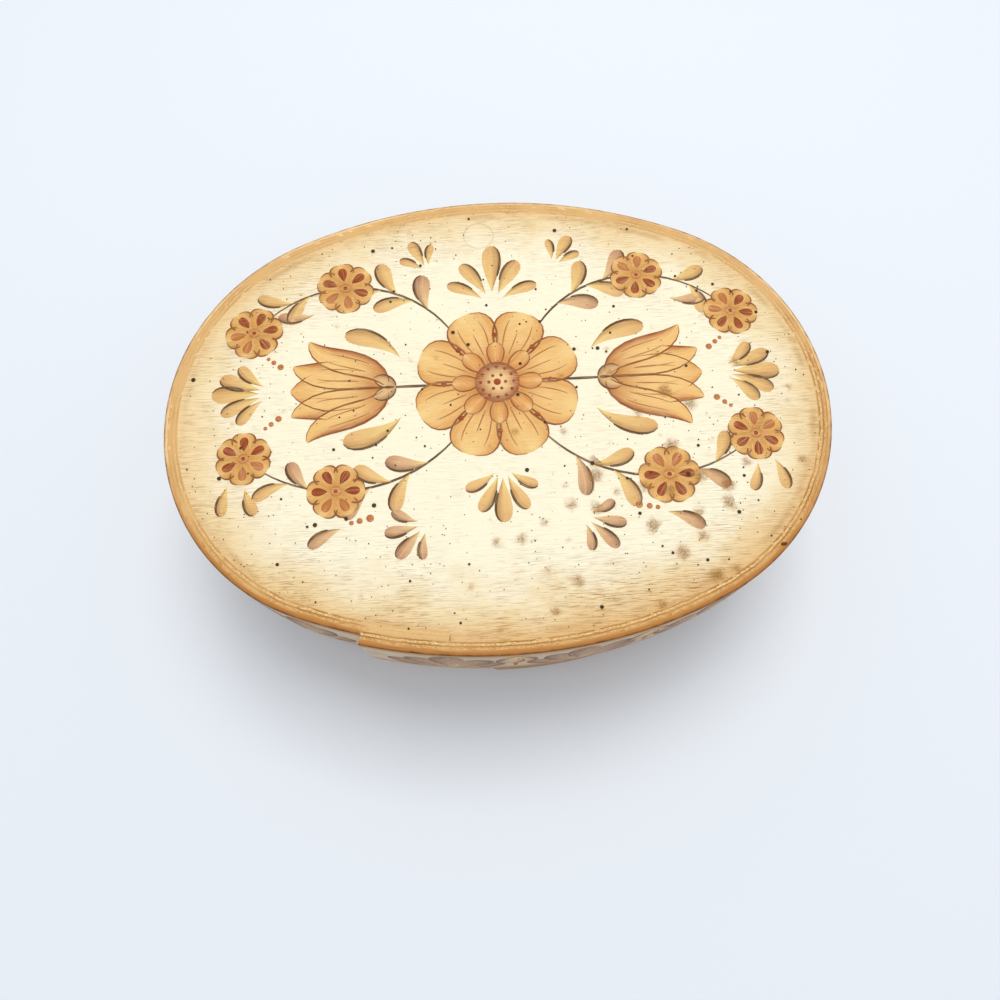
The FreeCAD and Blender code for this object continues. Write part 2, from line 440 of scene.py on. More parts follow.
# Drawn steel wire, dulled: grey with a little brown rust
def bradMaterial():
    material, add, shader = newMaterial("drawn steel wire, dulled")
    rust = add("TexNoise", {"Vector": millimetres(add), "Scale": 1 / 1.2, "Detail": 3.0})
    tint = add("ValToRGB", [rust], stops=[(0.4, "#8f8a80"), (0.62, "#7a5a3c")])
    rough = add("MapRange", [rust, 0.0, 1.0, 0.35, 0.7])
    plugIn(shader, {"Base Color": tint, "Roughness": rough, "Metallic": 0.9})
    return material


# Bent wood strip: cream paint outside, glazed gold brown along its upper edge and brown at its
# foot, and bare inside with its grain along the strip
bandFinish = {
    "rimStops": [(0.0, "#d6a05c"), (0.3, "#c88e4a"), (0.6, "#bd8140"), (0.8, "#b07234"), (0.9, "#8c5829"),
                 (1.0, "#4f3119")],  # from the inside to the outside
    # painted sheen on the rim towards the back, where the light falls on it
    "rimSheen": "#f6d29a",
    "rimVeins": "#a06a34",
    "veins": (7.0, 10.0, 0.23),  # mm along and up, and a share of the thickness
    "sideCream": "#ddcbae",
    "sideGlaze": "#b3834e",
    "lapCream": "#e3b97c",       # where the rim lies under the lap
    "bareWood": "#c89b62",
    "grain": (40.0, 0.8, 0.4),   # in the same units
    "waviness": 0.14,            # mm
    "waves": (55.0, 30.0),       # mm along and up
}


def rimGlaze(add, band, place, strip, along, across):
    wobble = patchesOf(add, place, 5, (0.0, 1.0, -0.2, 0.16))
    line = add("Math", [across, wobble], operation="ADD", use_clamp=True)
    rim = add("ValToRGB", [line], stops=bandFinish["rimStops"])
    back = add("SeparateXYZ", [place], "Y")  # painted sheen: paler towards the back, where the light falls on the rim
    back = add("MapRange", [back, -70.0, -10.0, 0.0, 0.95])
    patches = patchesOf(add, place, 45, (0.35, 0.65, 0.45, 1.1), 2.0)
    worn = add("Math", [back, patches], operation="MULTIPLY", use_clamp=True)
    worn = add("Math", [worn, add("MapRange", [line, 0.95, 0.7])], operation="MULTIPLY")
    rim = add("Mix", [worn, rim, bandFinish["rimSheen"]], data_type="RGBA")
    hidden = add("MapRange", [along, band["lap"] - 1.5, band["lap"] + 1, 1.0, 0.0])
    rim = add("Mix", [hidden, rim, bandFinish["lapCream"]], data_type="RGBA")
    veins = drawnNoise(add, strip, bandFinish["veins"], 4.0, 0.65, 0.4, (7, 3, 0))
    deep = add("MapRange", [across, 0.2, 0.75, 0.7, 0.46])
    deep = add("Math", [deep, hidden], operation="MAXIMUM")
    veins = add("Math", [add("MapRange", [veins, 0.5, 0.68]), deep], operation="MULTIPLY")
    return add("Mix", [veins, rim, bandFinish["rimVeins"]], data_type="RGBA")


def bandMaterial(band):
    name = "steam-bent wood strip, cream paint, glazed edge " + band["node"]
    material, add, shader = newMaterial(name, paintGloss)
    place = millimetres(add)
    height = add("SeparateXYZ", [place], "Z")
    along, across = [add("Attribute", output="Fac", attribute_name=name) for name in ("along", "across")]

    # Grain follows the strip
    strip = add("CombineXYZ", [along, height, across])
    grain = drawnNoise(add, strip, bandFinish["grain"], 3.0, 0.6, 0.2)
    dark = add("MapRange", [grain, 0.45, 0.75, 0.0, 0.55])
    inside = add("Mix", [dark, bandFinish["bareWood"], shaded(bandFinish["bareWood"], 0.5)],
                 data_type="RGBA")

    # Cream outside, browner towards the edges and in cloudy patches
    half = (band["top"] - band["bottom"]) / 2
    edge = add("MapRange", [offBy(add, height, band["bottom"] + half), half * 0.45, half, 0.0, 0.85],
               interpolation_type="SMOOTHSTEP")
    cloudy = patchesOf(add, place, 18, (0.3, 0.7, 0.0, 0.4))
    glaze = add("Math", [edge, cloudy], operation="MAXIMUM")
    glaze = add("Math", [glaze, dark], operation="ADD", use_clamp=True)
    side = add("Mix", [glaze, bandFinish["sideCream"], bandFinish["sideGlaze"]], data_type="RGBA")
    isOutside = add("Math", [across, 0.97], operation="GREATER_THAN")
    finish = add("Mix", [isOutside, inside, side], data_type="RGBA")
    if band["node"] == "lid_band":  # the body's upper edge is bare under the lid
        isRim = add("MapRange", [height, band["top"] - 0.8, band["top"] - 0.5])
        rim = rimGlaze(add, band, place, strip, along, across)
        finish = add("Mix", [isRim, finish, rim], data_type="RGBA")
    bump = add("Bump", {"Height": grain, "Strength": 1.0, "Distance": 0.04 * mm})
    plugIn(shader, {"Base Color": finish, "Roughness": 0.5, "Normal": bump})
    return material


# Thin folk paint, put on in single strokes: streaky along the stroke, and worn as the board is
def folkPaintMaterial(name, onLid=False, thinnest=0.34):
    material, add, shader = newMaterial(name, paintGloss)
    pigment = add("Attribute", output="Color", attribute_name="pigment")
    stroke = add("Attribute", output="Vector", attribute_name="stroke")
    grain = drawnNoise(add, stroke, (9, 0.5, 1))
    thin = add("MapRange", [grain, 0.5, 0.75, 0.0, thinnest])
    paint = add("Mix", [thin, pigment, "#f8e2b4"], data_type="RGBA")
    if onLid:
        plane = add("VectorMath", [millimetres(add), (1, 1, 0)], operation="MULTIPLY")
        paint, grain = wornPaint(add, plane, paint, edgeDistance(add, plane))
    bump = add("Bump", {"Height": grain, "Strength": 1.0, "Distance": 0.02 * mm})
    plugIn(shader, {"Base Color": paint, "Roughness": 0.5, "Normal": bump})
    return material


# Where a section lies at the start of a band, as wide and high as given, its outer side set in
def sectionPlace(band, width, bottom, top, setIn):
    centre, radius, first, last = band["arcs"][0]
    outward = direction(first)
    place = Matrix((outward * width, up * (top - bottom), outward.cross(up))).transposed().to_4x4()
    place.translation = centre + outward * (radius - setIn - width / 2) + up * (top + bottom) / 2
    return place


# Notes on each vertex of a section how far across it lies, as a share, from its inner side
def noteAcross(shape, band, setIn, width):
    centre, radius, first, last = band["arcs"][0]
    layers = shape.verts.layers.float
    across = layers.get("across") or layers.new("across")
    for vertex in shape.verts:
        vertex[across] = ((vertex.co - centre).dot(direction(first)) - radius + setIn + width) / width


# Turns a section along the arcs of a band, and notes on each vertex how far along it lies
def sweepAlong(shape, band):
    along = shape.verts.layers.float.new("along")
    ring = list(shape.verts) + list(shape.edges) + list(shape.faces)
    distance = 0
    for centre, radius, first, last in band["arcs"]:
        length = radius * math.radians(first - last)
        steps = math.ceil(length / outline["sweepStep"])
        for step in range(steps):
            ring = bmesh.ops.spin(shape, geom=ring, cent=centre, axis=-up, steps=1,
                                  angle=math.radians(first - last) / steps)["geom_last"]
            distance += length / steps
            for vertex in ring:
                if isinstance(vertex, bmesh.types.BMVert):
                    vertex[along] = distance


# How far a band's surface stands out here, as bent wood is never quite true
def bandWaviness(band, along, height):
    longWave, highWave = bandFinish["waves"]
    place = Vector((along / longWave, height / highWave, band["inset"] + 3))
    return bandFinish["waviness"] * noise.noise(place)


# A bent strip of wood
def bendBand(name, body):
    band = bands[body]
    thickness = outline["thickness"]
    shape = bmesh.new()
    bmesh.ops.create_grid(shape, x_segments=2, y_segments=band["rows"], size=0.5,
                          matrix=sectionPlace(band, thickness, band["bottom"], band["top"], 0))
    noteAcross(shape, band, 0, thickness)
    across = shape.verts.layers.float["across"]
    foot = outline["footRounding"]
    innerTop, outerTop = outline["topRoundings"]
    for level, outer, rounding in ((band["top"], 1, outerTop), (band["top"], 0, innerTop),
                                   (band["bottom"], 1, foot), (band["bottom"], 0, foot)):
        corners = [v for v in shape.verts if abs(v[across] - outer) < 0.01 and abs(v.co.z - level) < 0.01]
        bmesh.ops.bevel(shape, geom=corners, offset=rounding, offset_type="OFFSET", segments=3,
                        profile=0.5, affect="VERTICES", material=-1)
    noteAcross(shape, band, 0, thickness)
    sweepAlong(shape, band)
    along, across = [shape.verts.layers.float[name] for name in ("along", "across")]
    for vertex in shape.verts:
        _, outward = bandPlace(band, vertex[along])
        vertex.co += outward * bandWaviness(band, vertex[along], vertex.co.z)
        if "pared" in band:  # its outer end slopes down to nearly nothing
            pared = max(vertex[along] - band["length"] + band["pared"], 0) / band["pared"]
            vertex.co -= outward * vertex[across] * pared * 0.9 * thickness
    return finishPiece(shape, name, body, bandMaterial(band), sharpPast=20)


for name, body, slot in (("lid_band_wood", "lid", "painted_lid_band"),
                         ("body_band_wood", "body", "painted_body_band")):
    bentStrip = bendBand(name, body)
    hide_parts(bands[body]["node"])
print("bands bent")

# Paint that bridges the seam between the lid's board and band, and runs on along the lap's seam, in mm
seam = {
    "width": 4.2,
    "onBand": 2.2,
    "thickness": 0.6,
    "proud": 0.03,
    "ragged": 0.12,
    # From the board's side to the band's: two cracks, each beside a row of pale flecks
    "stops": [(0.0, "#dcae6e"), (0.09, "#c28c4b"), (0.14, "#8f642f"), (0.2, "#b98345"), (0.3, "#c8944f"),
              (0.46, "#bb8444"), (0.51, "#966733"), (0.57, "#bd8443"), (0.8, "#c48b49"), (1.0, "#bf8442")],
    "fleckStops": [(0.16, "#000000"), (0.24, "#ffffff"), (0.38, "#ffffff"), (0.47, "#000000"),
                   (0.55, "#000000"), (0.63, "#c0c0c0"), (0.8, "#c0c0c0"), (0.9, "#000000")],
    "fleck": "#f3d093",
    "fleckLength": 1.5,
    "fleckWidth": 1 / 7,  # of the width
    "worn": "#dfb273",  # where it never cracked, at the back and the left
    "wholeWay": (-0.35, 1, 0),
}


def paintSeam():
    lidBand = bands["lid"]
    shape = bmesh.new()
    bmesh.ops.create_grid(shape, x_segments=6, y_segments=1, size=0.5, matrix=sectionPlace(
        lidBand, seam["width"], lidTop - seam["thickness"], lidTop + seam["proud"],
        outline["thickness"] - seam["onBand"]))
    noteAcross(shape, lidBand, outline["thickness"] - seam["onBand"], seam["width"])
    sweepAlong(shape, lidBand)
    along, across = [shape.verts.layers.float[name] for name in ("along", "across")]
    for vertex in shape.verts:
        overLap = smoothStep(-1, 0, vertex[along] - lidBand["length"] + lidBand["lap"])
        slope = (lidTop - boardTop) * smoothStep(0.5, 0.2, vertex[across]) * (1 - overLap)
        ragged = seam["ragged"] * noise.noise(Vector((vertex[along] / 2.2, vertex[across] * 3, 0)))
        vertex.co.z += min(ragged, 0.05) - slope
    finishPiece(shape, "lid_seam_paint", "lid", seamMaterial(lidBand), sharpPast=20)


# Glaze that crackled over the seam: a brown line on the board's side, then pale flecks
def seamMaterial(band):
    material, add, shader = newMaterial("brittle glaze over a seam", paintGloss)
    along, across = [add("Attribute", output="Fac", attribute_name=name) for name in ("along", "across")]
    ribbon = add("CombineXYZ", [along, across])
    waver = drawnNoise(add, ribbon, (7, math.inf, 1), 3.0)
    waver = add("MapRange", [waver, 0.0, 1.0, -0.14, 0.14])
    line = add("Math", [across, waver], operation="ADD", use_clamp=True)
    tint = add("ValToRGB", [line], stops=seam["stops"])
    rows = add("ValToRGB", [line], stops=seam["fleckStops"])
    flecks = drawnNoise(add, ribbon, (seam["fleckLength"], seam["fleckWidth"], 1), 4.0, 0.75, 0.6)
    flecks = add("MapRange", [flecks, 0.43, 0.56])
    flecks = add("Math", [flecks, rows], operation="MULTIPLY")
    flaked = add("Mix", [flecks, tint, seam["fleck"]], data_type="RGBA")
    whole = add("VectorMath", [millimetres(add), seam["wholeWay"]], operation="DOT_PRODUCT")
    whole = add("MapRange", [whole, -70.0, 30.0, 0.0, 0.72])
    gaps = drawnNoise(add, ribbon, (24, math.inf, 1))
    gaps = add("MapRange", [gaps, 0.4, 0.6, -0.15, 0.35])
    whole = add("Math", [whole, gaps], operation="ADD", use_clamp=True)
    flaked = add("Mix", [whole, flaked, seam["worn"]], data_type="RGBA")
    start = add("MapRange", [along, band["lap"] - 3, band["lap"] + 2, 0.8, 0.0])  # filled under the lap
    finish = add("Mix", [start, flaked, bandFinish["lapCream"]], data_type="RGBA")
    plugIn(shader, {"Base Color": finish, "Roughness": 0.5})
    return material


paintSeam()
print("seam painted")

# The boards and the brads keep their shapes and get their finish
finishes = {"lid_board": paintedBoardMaterial(), "bottom_board": bottomWoodMaterial()}
brads = bradMaterial()
for node in ("lid_board_brads", "lid_lap_brads", "bottom_board_brads", "body_lap_brads"):
    finishes[node] = brads
for node, finish in finishes.items():
    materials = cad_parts[node].data.materials
    if materials:
        materials[0] = finish
    else:
        materials.append(finish)
print("boards finished")

# The painting. Lines are lists of points in mm on the painted surface, and a stroke's fullness
# rises and falls along its line
profiles = {
    "comma": (1.25, 0.5),   # thin tail, round head
    "petal": (0.85, 0.42),
    "leaf": (0.8, 0.75),
    "drop": (0.9, 0.5),
    "dot": (0.5, 0.5),
    "line": (0.3, 0.5),
}
paints = {
    "petal": {"body": "#f0c178", "root": "#cd8740", "tip": "#f5cf87", "shade": "#dfa155"},
    "innerPetal": {"body": "#e6a85c", "root": "#b2652a", "tip": "#f2c47e", "shade": "#c97e38"},
    "tulip": {"body": "#f2c47c", "root": "#bf742f", "tip": "#efbc70", "shade": "#b4602c", "side": 1},
    "tulipMid": {"body": "#f3ca82", "root": "#c47e3b", "tip": "#ecb66c", "shade": "#d8964c"},
    "blossomPetal": {"body": "#e6b064", "root": "#c88a42", "tip": "#efc077", "shade": "#cf9449"},
    "leaf": {"body": "#e9bd78", "root": "#f3d684", "tip": "#dfae6e", "shade": "#ad7a42", "side": 1},
    "mauveLeaf": {"body": "#dcae7f", "root": "#f0d08c", "tip": "#c08e6b", "shade": "#8a5c40", "side": 1},
    "skirtLeaf": {"body": "#b58c6c", "root": "#c9a67c", "tip": "#a07a62", "shade": "#7c5845", "side": 1},
    "scroll": {"body": "#e2b57c", "root": "#cfa06b", "tip": "#d4a474", "shade": "#9c7150", "side": 1},
    "rust": {"body": "#9e4112", "root": "#8c3a10", "tip": "#ae541c", "shade": "#86330e"},
    "paleRust": {"body": "#c57a42", "root": "#b3683a", "tip": "#d18a50", "shade": "#b06232"},
    "boss": {"body": "#f2c98c", "root": "#a55c2f", "tip": "#a55c2f", "shade": "#984f28"},
    "disc": {"body": "#e3a862", "root": "#d18f4b", "tip": "#d18f4b", "shade": "#b06a35"},
    "liner": {"body": "#5c3f24"},
    "softLiner": {"body": "#80604c"},
    "brownLiner": {"body": "#8c4f22"},
    "fineLiner": {"body": "#b0743c"},
    "stem": {"body": "#5f4630"},
    "spatter": {"body": "#3a2a1a"},
    "nick": {"body": "#6a3413"},
}
for paint in paints.values():
    for part in ("root", "tip", "shade", "body"):
        paint[part] = Vector(colour(paint.get(part, paint["body"])))

strokeMesh = bpy.data.meshes.new("stroke")


def newPainting():
    painting = bmesh.new()
    painting.verts.layers.float_color.new("pigment")
    painting.verts.layers.float_vector.new("stroke")
    return painting


# A line that starts in a direction and turns on its way, by a steady part and a growing part
def curvedLine(start, heading, length, turn=0, curl=0):
    points = [start]
    steps = 32
    for step in range(steps):
        share = (step + 0.5) / steps
        points.append(points[-1] + direction(heading + turn * share + curl * share ** 2) * length / steps)
    return points


def spotOn(line, share):
    place = min(max(share, 0), 0.9999) * (len(line) - 1)
    return line[int(place)].lerp(line[int(place) + 1], place - int(place))


def aheadOn(line, share):
    return spotOn(line, share + 0.03) - spotOn(line, share - 0.03)


def sidewaysOn(line, share):
    return up.cross(aheadOn(line, share)).normalized()


def fullness(share, profile):
    rise, fall = profiles[profile]
    peak = rise / (rise + fall)
    return (share / peak) ** rise * ((1 - share) / (1 - peak)) ** fall


# One stroke: a ball pressed flat and drawn out along the line
def brushStroke(painting, line, width, profile, paint, level, sides=8, rings=8):
    ball = newPainting()
    bmesh.ops.create_uvsphere(ball, u_segments=sides, v_segments=rings, radius=1)
    pigment = ball.verts.layers.float_color["pigment"]
    stroke = ball.verts.layers.float_vector["stroke"]
    length = sum((second - first).length for first, second in zip(line, line[1:]))
    seed = random.uniform(0, 90)
    paint = paints[paint]
    for vertex in ball.verts:
        share = min(max((1 - vertex.co.z) / 2, 0), 1)
        across, bulge = vertex.co.xy / max(vertex.co.xy.length, 0.001)
        half = width / 2 * fullness(share, profile)
        height = level + 0.05 * max(bulge, 0) if bulge > -0.01 else -0.03
        vertex.co = spotOn(line, share) + sidewaysOn(line, share) * half * across + up * height
        tone = paint["body"].lerp(paint["root"], smoothStep(0.5, 0, share))
        tone = tone.lerp(paint["tip"], smoothStep(0.6, 1, share))
        outwards = across if "side" in paint else abs(across)  # shaded at one edge or at both
        vertex[pigment] = tone.lerp(paint["shade"], smoothStep(0.25, 1, outwards))
        vertex[stroke] = (share * length, half * across, seed)
    ball.to_mesh(strokeMesh)
    ball.free()
    painting.from_mesh(strokeMesh)


# A line along one edge of a stroke, or further in when it is given less than its width
def edgeLine(line, width, profile, side, first, last):
    points = []
    steps = 24
    for step in range(steps + 1):
        share = first + (last - first) * step / steps
        half = width / 2 * fullness(share, profile)
        points.append(spotOn(line, share) + sidewaysOn(line, share) * side * half)
    return points


def outlined(painting, line, width, profile, liner, level, thickness, first=0.03):
    for side in (1, -1):
        edge = edgeLine(line, width, profile, side, first, 0.995)
        brushStroke(painting, edge, thickness, "line", liner, level, sides=6, rings=12)


# A leaf in one stroke, from its thin tail to its round head, with a dark line down its outer side
def leafStroke(painting, start, heading, length, width, turn, paint="leaf", liner="liner"):
    length *= random.uniform(0.94, 1.06)
    width *= random.uniform(0.92, 1.08)
    side = 1 if turn >= 0 else -1
    line = curvedLine(start, heading + random.uniform(-3, 3), length, turn)
    brushStroke(painting, line, -width * side, "comma", paint, 0.08)
    outer = edgeLine(line, width * 0.97, "comma", -side, 0.34, 0.992)
    brushStroke(painting, outer, 1.3, "line", liner, 0.13, sides=6, rings=9)


def dotStroke(painting, centre, radius, paint, level, sides=8, rings=4):
    reach = Vector((radius, 0, 0))
    brushStroke(painting, [centre - reach, centre + reach], 2 * radius, "dot", paint, level, sides, rings)


# A round flower: a ring of broad petals with veins, a ring of small ones and a shaded boss
def rosette(painting, centre, radius, petals, turned):
    for petal in range(petals):
        angle = turned + 360 * petal / petals
        root = centre + direction(angle) * radius * 0.24
        length = radius * random.uniform(0.74, 0.78)
        line = curvedLine(root, angle - 3, length, 6)
        width = 4.85 * radius / petals * random.uniform(0.98, 1.03)
        level = 0.12 + 0.003 * petal
        brushStroke(painting, line, width, "petal", "petal", level, sides=12, rings=12)
        outlined(painting, line, width, "petal", "brownLiner", level + 0.05, 1.1)
        for spread, first, last in ((-0.5, 0.3, 0.82), (0, 0.2, 0.62), (0.5, 0.3, 0.82)):
            vein = edgeLine(line, width * spread, "petal", 1, first, last)
            brushStroke(painting, vein, 0.75, "line", "fineLiner", level + 0.055, sides=6)
    for petal in range(petals):
        angle = turned + 360 * (petal + 0.5) / petals
        line = curvedLine(centre + direction(angle) * radius * 0.18, angle, radius * 0.36)
        brushStroke(painting, line, 1.7 * radius / petals, "drop", "innerPetal", 0.22)
        outlined(painting, line, 1.7 * radius / petals, "drop", "brownLiner", 0.26, 0.7)
        dotStroke(painting, centre + direction(angle) * radius * 0.64, radius * 0.035, "rust", 0.24)
    dotStroke(painting, centre, radius * 0.27, "boss", 0.27, 20, 14)
    for dots, reach in ((12, 0.2), (6, 0.1)):
        for dot in range(dots):
            spot = centre + direction(360 * dot / dots) * radius * reach
            dotStroke(painting, spot, radius * 0.022, "rust", 0.32)
    dotStroke(painting, centre, radius * 0.045, "rust", 0.32, rings=6)


# A six-petalled blossom with rust strokes laid in its petals
def blossom(painting, centre, radius, turned):
    for petal in range(6):
        angle = turned + 60 * petal + random.uniform(-3, 3)
        line = curvedLine(centre + direction(angle) * radius * 0.1, angle, radius * 0.93)
        width = radius * 0.86
        level = 0.14 + 0.003 * petal
        brushStroke(painting, line, width, "petal", "blossomPetal", level, sides=10, rings=10)
        outlined(painting, line, width, "petal", "brownLiner", level + 0.04, 0.95, first=0.5)
    for petal in range(6):
        angle = turned + 60 * petal
        tone = "paleRust" if petal in (1, 2) else "rust"
        line = curvedLine(centre + direction(angle) * radius * 0.3, angle, radius * 0.56)
        brushStroke(painting, line, radius * 0.32, "drop", tone, 0.22)
    dotStroke(painting, centre, radius * 0.2, "disc", 0.24, 10, 8)
    dotStroke(painting, centre, radius * 0.08, "rust", 0.3, rings=6)


# A tulip seen from the side: a middle petal, and pairs that hold it and then curl away
tulipPetals = (  # heading, turn and curl from the tulip's own line, and length and width in its length
    (0, 0, 0, 0.94, 0.46, "tulipMid"),
    (46, -158, 148, 0.98, 0.3, "tulip"),
    (78, -236, 226, 0.98, 0.25, "tulip"),
)


def tulip(painting, base, heading, length):
    level = 0.12
    for aside, turn, curl, share, width, paint in tulipPetals:
        width *= length
        for side in (1, -1) if aside else (1,):
            line = curvedLine(base, heading + side * aside, length * share, side * turn, side * curl)
            brushStroke(painting, line, side * width, "leaf", paint, level, sides=12, rings=14)
            outlined(painting, line, width, "leaf", "brownLiner", level + 0.04, 1.0)
            for edge in (-1, 1):
                vein = edgeLine(line, width * 0.42, "leaf", edge, 0.3, 0.74)
                brushStroke(painting, vein, 0.65, "line", "fineLiner", level + 0.045, sides=6)
            level += 0.02
    cup = base - direction(heading) * length * 0.08  # two small leaves that hold its foot
    for side in (1, -1):
        line = curvedLine(cup, heading + side * 40, length * 0.24, -side * 30)
        brushStroke(painting, line, length * 0.13 * side, "leaf", "scroll", level)
        outlined(painting, line, length * 0.13, "leaf", "liner", level + 0.04, 0.8)


# A thin stem with leaves on both its sides, larger at its foot, that make room for its blossoms
def leafyStem(painting, start, heading, length, turn, leaves, size, blossoms):
    line = curvedLine(start, heading, length, turn)
    brushStroke(painting, line, 1.3, "line", "stem", 0.05, sides=6, rings=24)
    for leaf in range(leaves):
        share = 0.14 + 0.76 * (leaf + 0.5) / leaves
        if min(abs(share - place) for place in blossoms) < 0.09:
            continue
        side = 1 if leaf % 2 else -1
        grown = size * (1.1 - 0.3 * share)
        leafStroke(painting, spotOn(line, share), angleOf(aheadOn(line, share)) + side * 22, grown,
                   grown * 0.36, side * 44, "mauveLeaf" if leaf % 3 == 0 else "leaf")
    return line


# Leaves spread like a fan
def fan(painting, root, heading, spread, leaves, length, width, paint="leaf"):
    for leaf in range(leaves):
        share = 2 * leaf / (leaves - 1) - 1
        shorter = 1 - 0.3 * abs(share)
        angle = heading + spread / 2 * share
        leafStroke(painting, root + direction(angle) * length * 0.22, angle - share * 16, length * shorter,
                   width * shorter, 34 * share, paint)


# Three dots in a row, each smaller than the last
def triad(painting, spot, heading, radius):
    for dot in range(3):
        dotStroke(painting, spot, radius, "paleRust", 0.1, rings=6)
        spot = spot + direction(heading) * radius * 2.7
        radius *= 0.78


# The design on the lid: a rosette between two tulips, with leafy stems and blossoms round them
lidDesign = {
    "middle": Vector((0, 12, 0)),
    "rosetteRadius": 38.0,
    "petals": 8,
    "tulipLength": 47.0,
    "blossomRadius": 12.6,
    "bareEdge": 9.0,  # mm
}
random.seed(7)
lidPainting = newPainting()
for side in (1, -1):
    def mirrored(x, y):
        return lidDesign["middle"] + Vector((side * x, y, 0))

    def turned(angle):
        return angle if side > 0 else 180 - angle

    upper = leafyStem(lidPainting, mirrored(18, 24), turned(62), 112, -side * 115, 10, 20, (0.56, 0.93))
    lower = leafyStem(lidPainting, mirrored(18, -24), turned(-52), 108, side * 95, 9, 19, (0.58, 0.92))
    brushStroke(lidPainting, [mirrored(30, 0), mirrored(52, 0)], 1.6, "line", "stem", 0.05, sides=6)
    tulip(lidPainting, mirrored(50, 0), turned(0), lidDesign["tulipLength"])
    for line, share, tilt in ((upper, 0.56, 20), (upper, 1.0, 50), (lower, 0.58, 0), (lower, 1.0, -30)):
        radius = lidDesign["blossomRadius"] * random.uniform(0.95, 1.05)
        blossom(lidPainting, spotOn(line, share), radius, turned(tilt))
    for line in (upper, lower):  # slender leaves beyond the ends, where there is room for them
        for tilt in range(-160, 161, 32):
            way = direction(turned(tilt))
            root = spotOn(line, 1.0) + way * (lidDesign["blossomRadius"] + 1.5)
            crowded = abs(tilt) > 100 or (tilt > 0) == (line is lower)
            if not crowded and insideEdge(root + way * 15) > lidDesign["bareEdge"]:
                leafStroke(lidPainting, root, turned(tilt), 14, 5.2, side * (1 if tilt > 0 else -1) * 30)
    for way in (1, -1):
        leafStroke(lidPainting, mirrored(44, way * 15), turned(way * 50), 30, 9, -side * way * 54)
    fan(lidPainting, mirrored(103, 0), turned(0), 92, 5, 23, 8)
    for x, y, heading, turn in ((84, 40, -20, 40), (70, -66, -10, -36)):
        leafStroke(lidPainting, mirrored(x, y), turned(heading), 17, 5.78, side * turn, "mauveLeaf")
    fan(lidPainting, mirrored(34, -66), turned(-30), 110, 4, 17, 6, "mauveLeaf")
    fan(lidPainting, mirrored(30, 61), turned(62), 70, 3, 16, 5.8)
    for x, y, heading, radius in ((99, 13, 38, 1.5), (99, -13, -38, 1.5), (58, -62, -12, 1.7)):
        triad(lidPainting, mirrored(x, y), turned(heading), radius)
rosette(lidPainting, lidDesign["middle"], lidDesign["rosetteRadius"], lidDesign["petals"], 22.5)
fan(lidPainting, mirrored(0, 42), 90, 130, 5, 25, 8.8)
fan(lidPainting, mirrored(0, -42), -90, 120, 5, 20, 7.4)
bmesh.ops.translate(lidPainting, verts=lidPainting.verts, vec=up * boardTop)
lidPaint = folkPaintMaterial("folk paint, thin strokes on the lid", onLid=True)
finishPiece(lidPainting, "lid_painting", "lid", lidPaint)
print("lid painted")


# The sides: strokes are laid out flat, along and up the band, and then wrapped round it
def wrapRound(painting, band):
    for vertex in painting.verts:
        point, outward = bandPlace(band, vertex.co.x)
        stand = vertex.co.z + bandWaviness(band, vertex.co.x, vertex.co.y)
        vertex.co = point + outward * stand + up * vertex.co.y


sides = {
    "skirtUnits": 14,   # fans of broad leaves round the lid's band
    "skirtLow": 4.0,    # mm above its foot
    "bodyUnits": 8,     # flowers round the body, tulips and blossoms in turn
    "bodyLow": 5.0,
}
sidePaint = folkPaintMaterial("folk paint, thin strokes on the sides")
random.seed(11)
skirt = newPainting()
lidBand = bands["lid"]
spacing = (lidBand["length"] - lidBand["lap"] - 8) / sides["skirtUnits"]
for unit in range(sides["skirtUnits"]):
    foot = Vector((lidBand["lap"] + 2 + spacing * (unit + 0.5), lidBand["bottom"] + sides["skirtLow"], 0))
    for aside, length in ((0, 34), (36, 31), (70, 26)):
        for side in (1, -1) if aside else (1,):
            leafStroke(skirt, foot + Vector((side * aside * 0.06, 0, 0)), 90 - side * aside, length,
                       length * 0.42, side * (aside * 0.5 + 8), "skirtLeaf", "softLiner")
    crown = foot + Vector((spacing / 2, 34, 0))
    if unit < sides["skirtUnits"] - 1:
        for aside in (-34, 0, 34):
            leafStroke(skirt, crown, -90 + aside, 19, 8, -aside, "mauveLeaf", "softLiner")
        triad(skirt, crown - Vector((0, 22, 0)), -90, 1.3)
wrapRound(skirt, lidBand)
finishPiece(skirt, "lid_side_painting", "lid", sidePaint)

flowers = newPainting()
bodyBand = bands["body"]
spacing = (bodyBand["length"] - bodyBand["lap"] - bodyBand["pared"]) / sides["bodyUnits"]
for unit in range(sides["bodyUnits"]):
    foot = Vector((bodyBand["lap"] + spacing * (unit + 0.5), sides["bodyLow"], 0))
    brushStroke(flowers, [foot, foot + Vector((0, 16, 0))], 1.7, "line", "stem", 0.05, sides=6)
    if unit % 2:
        blossom(flowers, foot + Vector((0, 28, 0)), 13, 90)
    else:
        tulip(flowers, foot + Vector((0, 13, 0)), 90, 31)
    for side in (1, -1):
        out = 90 - side * 90
        leafStroke(flowers, foot + Vector((side * 1, 3, 0)), 90 - side * 32, 21, 7.6, -side * 44, "mauveLeaf")
        leafStroke(flowers, foot + Vector((side * 3, 1, 0)), out + side * 20, 20, 7, side * 26)
        leafStroke(flowers, foot + Vector((side * 22, 32, 0)), 90 - side * 60, 17, 6.2, -side * 46)
        leafStroke(flowers, foot + Vector((side * 24, 25, 0)), out, 16, 5.8, side * 40, "mauveLeaf")
        triad(flowers, foot + Vector((side * 30, 12, 0)), 90 - side * 50, 1.6)
wrapRound(flowers, bodyBand)
finishPiece(flowers, "body_side_painting", "body", sidePaint)
print("sides painted")

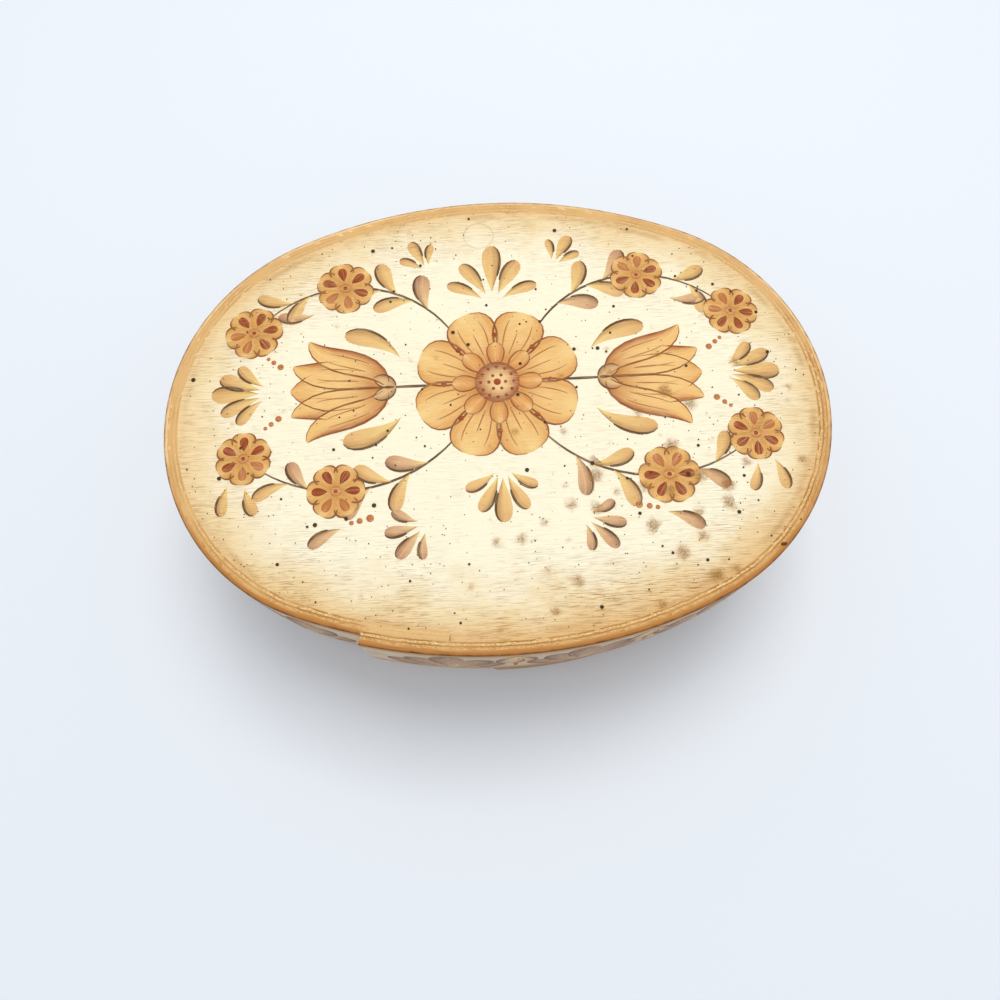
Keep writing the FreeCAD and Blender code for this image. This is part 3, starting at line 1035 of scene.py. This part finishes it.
# Spatter, flicked from a brush over the whole lid, in mm
spatter = {
    "drops": 280,
    "smallest": 0.22,
    "largest": 1.05,
    "seamWidth": 7.5,  # drops keep off the seam, and are smaller on the rim
    "rim": (1.6, 2.8),
    "rimSink": 0.3,
    "nick": ((115.8, -71.3, 0), (118.8, -71.0, 0)),  # a small dent in the rim, drawn as a dark brown mark
    "nickWidth": 1.6,
}
random.seed(23)
drops = newPainting()
dropVerts = 26
while len(drops.verts) < spatter["drops"] * dropVerts:
    spot = Vector((random.uniform(-150, 150), random.uniform(-111, 111), 0))
    distance = insideEdge(spot)
    radius = spatter["smallest"] + (spatter["largest"] - spatter["smallest"]) * random.random() ** 5
    onBoard = distance > spatter["seamWidth"]
    if onBoard or spatter["rim"][0] < distance < spatter["rim"][1]:
        dotStroke(drops, spot, radius if onBoard else radius * 0.5, "spatter", 0.36)
        surface = up * (boardTop if onBoard else lidTop - spatter["rimSink"])
        bmesh.ops.translate(drops, verts=drops.verts[-dropVerts:], vec=surface)
drawn = len(drops.verts)
brushStroke(drops, [Vector(end) for end in spatter["nick"]], spatter["nickWidth"], "dot", "nick", 0.36)
bmesh.ops.translate(drops, verts=drops.verts[drawn:], vec=up * (lidTop - spatter["rimSink"]))
driedPaint = folkPaintMaterial("umber spatter, dried", thinnest=0.05)
finishPiece(drops, "lid_spatter", "lid", driedPaint)
print("lid spattered")

# Floor and soft studio light
studio = {
    "floorSize": 6.0,
    "floorColour": "#ecf1f7",
    "skyColour": "#eef3fa",
    "skyStrength": 0.72,
    "lampAt": Vector((0.12, 0.42, 1.6)),
    "lampSize": 0.8,
    "lampPower": 12.5,
    "lampColour": "#fffcf6",
}
floorShape = bmesh.new()
bmesh.ops.create_grid(floorShape, x_segments=2, y_segments=2, size=studio["floorSize"] / 2)
floorMesh = bpy.data.meshes.new("floor")
floorShape.to_mesh(floorMesh)
floorShape.free()
floor = bpy.data.objects.new("floor", floorMesh)
bpy.context.scene.collection.objects.link(floor)
paper, add, shader = newMaterial("matt backdrop paper", 0.2)
plugIn(shader, {"Base Color": studio["floorColour"], "Roughness": 0.7})
floorMesh.materials.append(paper)

sky = bpy.data.worlds.new("sky")
sky.use_nodes = True
plugIn(sky.node_tree.nodes["Background"], [studio["skyColour"], studio["skyStrength"]])
bpy.context.scene.world = sky
light = bpy.data.lights.new("back softbox", "AREA")
light.shape = "SQUARE"
light.size = studio["lampSize"]
light.energy = studio["lampPower"]
light.color = colour(studio["lampColour"])[:3]
softbox = bpy.data.objects.new(light.name, light)
softbox.location = studio["lampAt"]
softbox.rotation_mode = "QUATERNION"
softbox.rotation_quaternion = (-studio["lampAt"]).to_track_quat("-Z", "Y")
bpy.context.scene.collection.objects.link(softbox)
print("studio lit")
